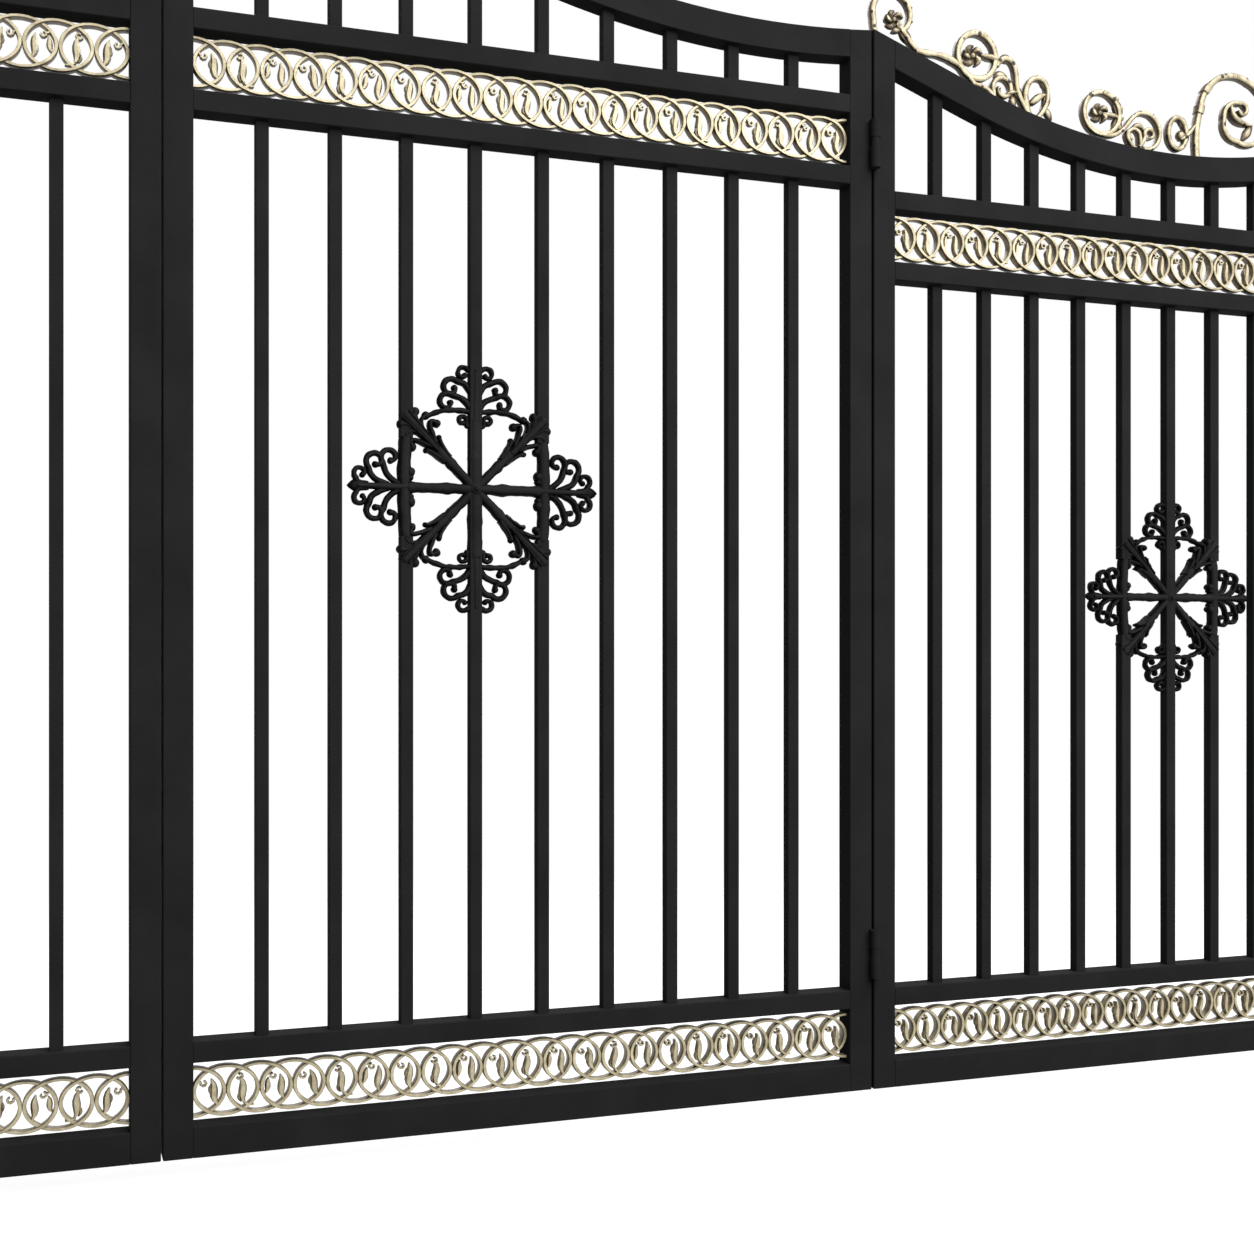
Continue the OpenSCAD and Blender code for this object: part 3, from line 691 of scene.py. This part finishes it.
def crest_end():
    """The hook, ringed bud and small scrolls that go down from the hinge seam."""
    whole = bmesh.new()
    hook = crest(55, 2231)
    hooked = scroll(crest(18, 2178), crest(15, 2187), hook, 45 * MM, 42 * MM, 186, -58)
    crest_bar(whole, hooked, 13, 11)
    bud(whole, crest(60, 2219), 23)
    knots(whole, hook, 48, (-15, 20), 3)
    crest_leaf(whole, sweep((84, 2202), (73, 2203), (64, 2196), (55, 2192)), 15, SHADED_RISE)
    stem = sweep((67, 2212), (88, 2198), (97, 2168), (122, 2159))
    crest_bar(whole, stem, 13, 10)
    crest_leaf(whole, stem[2:12], 24, SHADED_RISE)
    twig = sweep((112, 2160), (170, 2156), (198, 2170), (254, 2108), steps=24)
    bent_bar(whole, twig, spindle(11 * MM, 4 * MM, (0.15, 0.48, 0.62)), even(CREST_DEPTH), crown=0.4)
    ring = crest(259, 2168)
    hoop(whole, ring, 52 * MM, 12 * MM, CREST_DEPTH, CREST_RING_STEPS, height=1.06)
    bud(whole, crest(249, 2168), 26)
    knots(whole, ring, 50, (96, 62, 42, 28, -38), 3.2)
    crest_leaf(whole, sweep((316, 2163), (304, 2172), (286, 2168), (268, 2172)), 14)
    crest_bar(whole, sweep((248, 2110), (268, 2104), (282, 2109), (302, 2086)), 10, 10)
    arch = sweep((308, 2153), (324, 2184), (358, 2178), (357, 2126))
    arch += sweep((357, 2126), (357, 2102), (370, 2088), (388, 2058))[1:]
    crest_bar(whole, arch, 12, 11)
    crest_leaf(whole, arch[2:12], 20, SHADED_RISE)
    crest_leaf(whole, arch[17:26], 22, SHADED_RISE)
    curled = crest(323, 2106)
    small = scroll(crest(305, 2078), crest(298, 2090), curled, 24 * MM, 9 * MM, 190, -190)
    crest_bar(whole, small, 11, 9)
    crest_leaf(whole, sweep((304, 2126), (312, 2142), (325, 2137), (339, 2125)), 18, SHADED_RISE)
    crest_leaf(whole, sweep((329, 2093), (339, 2100), (347, 2101), (359, 2103)), 11)
    crest_leaf(whole, sweep((344, 2094), (352, 2090), (348, 2080), (355, 2069)), 17, SHADED_RISE)
    crest_bar(whole, sweep((391, 2055), (369, 2096), (381, 2144), (419, 2139)), 15, 11)
    leafy = sweep((409, 2141), (446, 2136), (445, 2086), (411, 2055))
    crest_bar(whole, leafy, 10, 11)
    crest_leaf(whole, leafy[1:8], 20, SHADED_RISE)
    crest_leaf(whole, leafy[7:14], 20, SHADED_RISE)
    crest_leaf(whole, sweep((391, 2084), (403, 2086), (411, 2102), (431, 2106)), 18)
    lump(whole, crest(399, 2087), 8)
    crest_leaf(whole, sweep((431, 2082), (433, 2070), (441, 2064), (447, 2052)), 17, SHADED_RISE)
    return whole


def crest_middle():
    """The ringed bud, wave, oval and large scroll at the lowest part of the top rail."""
    whole = bmesh.new()
    ring = crest(575, 2083)
    hoop(whole, ring, 51 * MM, 10.5 * MM, CREST_DEPTH, CREST_RING_STEPS)
    bud(whole, crest(570, 2083), 24)
    knots(whole, ring, 49, (118, 85), 3)
    knots(whole, ring, 52, (42, 18, -6, -30), 7.5)
    wrap = [ring + polar(turn) * 47 * MM for turn in range(50, -60, -10)]
    crest_leaf(whole, wrap[:7], 26, SHADED_RISE)
    crest_leaf(whole, wrap[5:], 26, SHADED_RISE)
    crest_leaf(whole, sweep((622, 2076), (606, 2084), (592, 2078), (576, 2084)), 12)
    turned = crest(688, 2053)
    wave = scroll(crest(574, 2037), crest(624, 2028), turned, 43 * MM, 36 * MM, 132, -110)
    crest_bar(whole, wave, 10, 10)
    knots(whole, turned, 46, (105, 62), 3)
    near = scroll(wave[-1], crest(684, 2034), crest(701, 2049), 13 * MM, 6 * MM, 190, -90)
    far = scroll(crest(680, 2010), crest(676, 2038), crest(659, 2042), 17 * MM, 8 * MM, 10, 240)
    crest_bar(whole, near, 10, 8)
    crest_bar(whole, far, 10, 8)
    crest_bar(whole, sweep((648, 2053), (634, 2046), (648, 2024), (664, 2014)), 9, 9)
    crest_leaf(whole, sweep((654, 2057), (664, 2069), (676, 2069), (686, 2057)), 13)
    oval = [crest(777 + 24 * polar(a).x, 2061 + 35 * polar(a).y) for a in range(15, 386, 10)]
    crest_bar(whole, oval, 11, 11)
    crest_leaf(whole, oval[0:8], 21, SHADED_RISE)
    crest_leaf(whole, oval[30:38], 21, SHADED_RISE)
    lump(whole, crest(787, 2058), 11)
    crest_leaf(whole, sweep((784, 2048), (798, 2053), (810, 2066), (827, 2088)), 13)
    heart = crest(942, 2112)
    start = heart + polar(175) * 103 * MM
    large = bend(crest(832, 2004), crest(826, 2040), crest(826, 2080), start, STEM_STEPS)
    large += roll(heart, 103 * MM, 91 * MM, 175, 70) + roll(heart, 91 * MM, 52 * MM, 70, -90)
    large += roll(heart, 52 * MM, 38 * MM, -90, -170) + roll(heart, 38 * MM, 36 * MM, -170, -280)
    crest_bar(whole, large, 15, 10)
    crest_bar(whole, roll(crest(954, 2134), 15 * MM, 7 * MM, 130, -160), 10, 9)
    for spot in (13, 18):
        collar(whole, large, spot, 18)
    knots(whole, heart, 97, (140, 121, 107, 92, 75), 3.6)
    crest_leaf(whole, sweep((926, 2143), (918, 2116), (945, 2100), (984, 2101)), 15)
    crest_leaf(whole, sweep((984, 2104), (978, 2088), (966, 2080), (958, 2064)), 20, SHADED_RISE)
    return whole


def both_ends(end):
    """The end group and its mirror image at the leaf's other end."""
    whole = bmesh.new()
    far = end.copy()
    centre = Matrix.Translation((-(SEAM + LEAF_W / 2), 0, 0))
    bmesh.ops.scale(far, vec=(-1, 1, 1), space=centre, verts=far.verts)
    join(whole, end)
    join(whole, far)
    return whole


for part, bm in (("crest_ends", both_ends(crest_end())), ("crest_middle", crest_middle())):
    bmesh.ops.recalc_face_normals(bm, faces=bm.faces)
    hammer(bm, *CREST_HAMMER)
    mark_fronts(bm, CREST_DEPTH)
    hang(bm, "outer", part, CREST_GOLD, CREST_CREASE)


# Stage: pale floor that fades into a white surround, soft light from the front and less from behind
FLOOR_REACH = 12
FLOOR_SEEN = (0.6, 0.6, 0.6, 1)
FLOOR_DIM = (0.25, 0.25, 0.25, 1)
FLOOR_GLOW = 0.7
FLOOR_FADE = (1.8, 4.5)
SKY_LIGHT = 0.3
SKY_SEEN = 1.0
WHITE = (1, 1, 1, 1)
LOW_AIM = (GATE_MID + 0.6, 0, 1.2)
HIGH_AIM = (GATE_MID + 0.6, 0, 1.8)
CAMERA_LENS = 46.63
CAMERA_SHIFT = 0.0263
CAMERA_PLACE = (2.7645, -2.970, 0.9346)
CAMERA_TURN = -20


def floor():
    bm = bmesh.new()
    bmesh.ops.create_grid(bm, x_segments=1, y_segments=1, size=FLOOR_REACH)
    bmesh.ops.translate(bm, vec=(GATE_MID, 0, 0), verts=bm.verts)
    mesh = bpy.data.meshes.new("floor")
    bm.to_mesh(mesh)
    bm.free()
    piece = bpy.data.objects.new("floor", mesh)
    bpy.context.scene.collection.objects.link(piece)
    mesh.materials.append(floor_finish())


def seen_rays(nodes, links):
    """One for rays that the eye sees straight, mirrored or through glass, none for others."""
    eye = nodes.new("ShaderNodeLightPath")
    total = eye.outputs["Is Camera Ray"]
    for kind in ("Is Glossy Ray", "Is Transmission Ray"):
        both = nodes.new("ShaderNodeMath")
        both.operation = "ADD"
        links.new(total, both.inputs[0])
        links.new(eye.outputs[kind], both.inputs[1])
        total = both.outputs["Value"]
    return total


def floor_finish():
    """Pale where the eye sees it, dim for the light it throws back, and clear towards its edges."""
    material = bpy.data.materials.new("pale_floor")
    material.use_nodes = True
    nodes, links = material.node_tree.nodes, material.node_tree.links
    nodes.remove(nodes["Principled BSDF"])
    matt = value(nodes, "ShaderNodeBsdfDiffuse", Color=FLOOR_SEEN)
    dim = value(nodes, "ShaderNodeBsdfDiffuse", Color=FLOOR_DIM)
    glow = value(nodes, "ShaderNodeEmission", Color=WHITE, Strength=FLOOR_GLOW)
    lit = nodes.new("ShaderNodeAddShader")
    links.new(matt.outputs["BSDF"], lit.inputs[0])
    links.new(glow.outputs["Emission"], lit.inputs[1])
    seen = nodes.new("ShaderNodeMixShader")
    links.new(seen_rays(nodes, links), seen.inputs["Fac"])
    links.new(dim.outputs["BSDF"], seen.inputs[1])
    links.new(lit.outputs["Shader"], seen.inputs[2])
    place = nodes.new("ShaderNodeTexCoord")
    squeeze = nodes.new("ShaderNodeMapping")
    squeeze.inputs["Location"].default_value = (-0.5 * GATE_MID, 0, 0)
    squeeze.inputs["Scale"].default_value = (0.5, 1, 1)
    links.new(place.outputs["Object"], squeeze.inputs["Vector"])
    reach = nodes.new("ShaderNodeVectorMath")
    reach.operation = "LENGTH"
    links.new(squeeze.outputs["Vector"], reach.inputs[0])
    fade = spread_value(nodes, links, reach.outputs["Value"], 0.0, 1.0, *FLOOR_FADE, smooth=True)
    clear = nodes.new("ShaderNodeBsdfTransparent")
    edge = nodes.new("ShaderNodeMixShader")
    links.new(fade, edge.inputs["Fac"])
    links.new(seen.outputs["Shader"], edge.inputs[1])
    links.new(clear.outputs["BSDF"], edge.inputs[2])
    links.new(edge.outputs["Shader"], nodes["Material Output"].inputs["Surface"])
    return material


def surround():
    """White where the eye sees it, with less light on the gate."""
    world = bpy.data.worlds.new("surround")
    bpy.context.scene.world = world
    world.use_nodes = True
    nodes, links = world.node_tree.nodes, world.node_tree.links
    sky = nodes["Background"]
    strength = spread_value(nodes, links, seen_rays(nodes, links), SKY_LIGHT, SKY_SEEN)
    links.new(strength, sky.inputs["Strength"])
    sky.inputs["Color"].default_value = WHITE


def lamp(name, place, aim, size, watts):
    """A soft panel that looks from its place to its aim."""
    light = bpy.data.lights.new(name, "AREA")
    light.shape = "RECTANGLE"
    light.size, light.size_y = size
    light.energy = watts
    piece = bpy.data.objects.new(name, light)
    bpy.context.scene.collection.objects.link(piece)
    piece.location = place
    piece.rotation_euler = (Vector(aim) - Vector(place)).to_track_quat("-Z", "Y").to_euler()


floor()
surround()
lamp("key_panel", (GATE_MID + 2.6, -3.2, 6.2), LOW_AIM, (7.0, 2.5), 300)
lamp("fill_panel", (GATE_MID + 3.4, -5.4, 4.0), HIGH_AIM, (5.0, 2.5), 300)
lamp("back_panel", (GATE_MID + 2.6, 5.0, 5.0), LOW_AIM, (6.0, 2.5), 240)

# Camera at the photograph's place: level, turned to the right along the gate
eye = bpy.data.cameras.new("camera")
eye.sensor_width = 36
eye.lens = CAMERA_LENS
eye.shift_y = CAMERA_SHIFT
camera = bpy.data.objects.new("camera", eye)
camera.location = CAMERA_PLACE
camera.rotation_euler = (math.radians(90), 0, math.radians(CAMERA_TURN))
bpy.context.scene.collection.objects.link(camera)
bpy.context.scene.camera = camera
bpy.context.scene.view_settings.view_transform = "Standard"
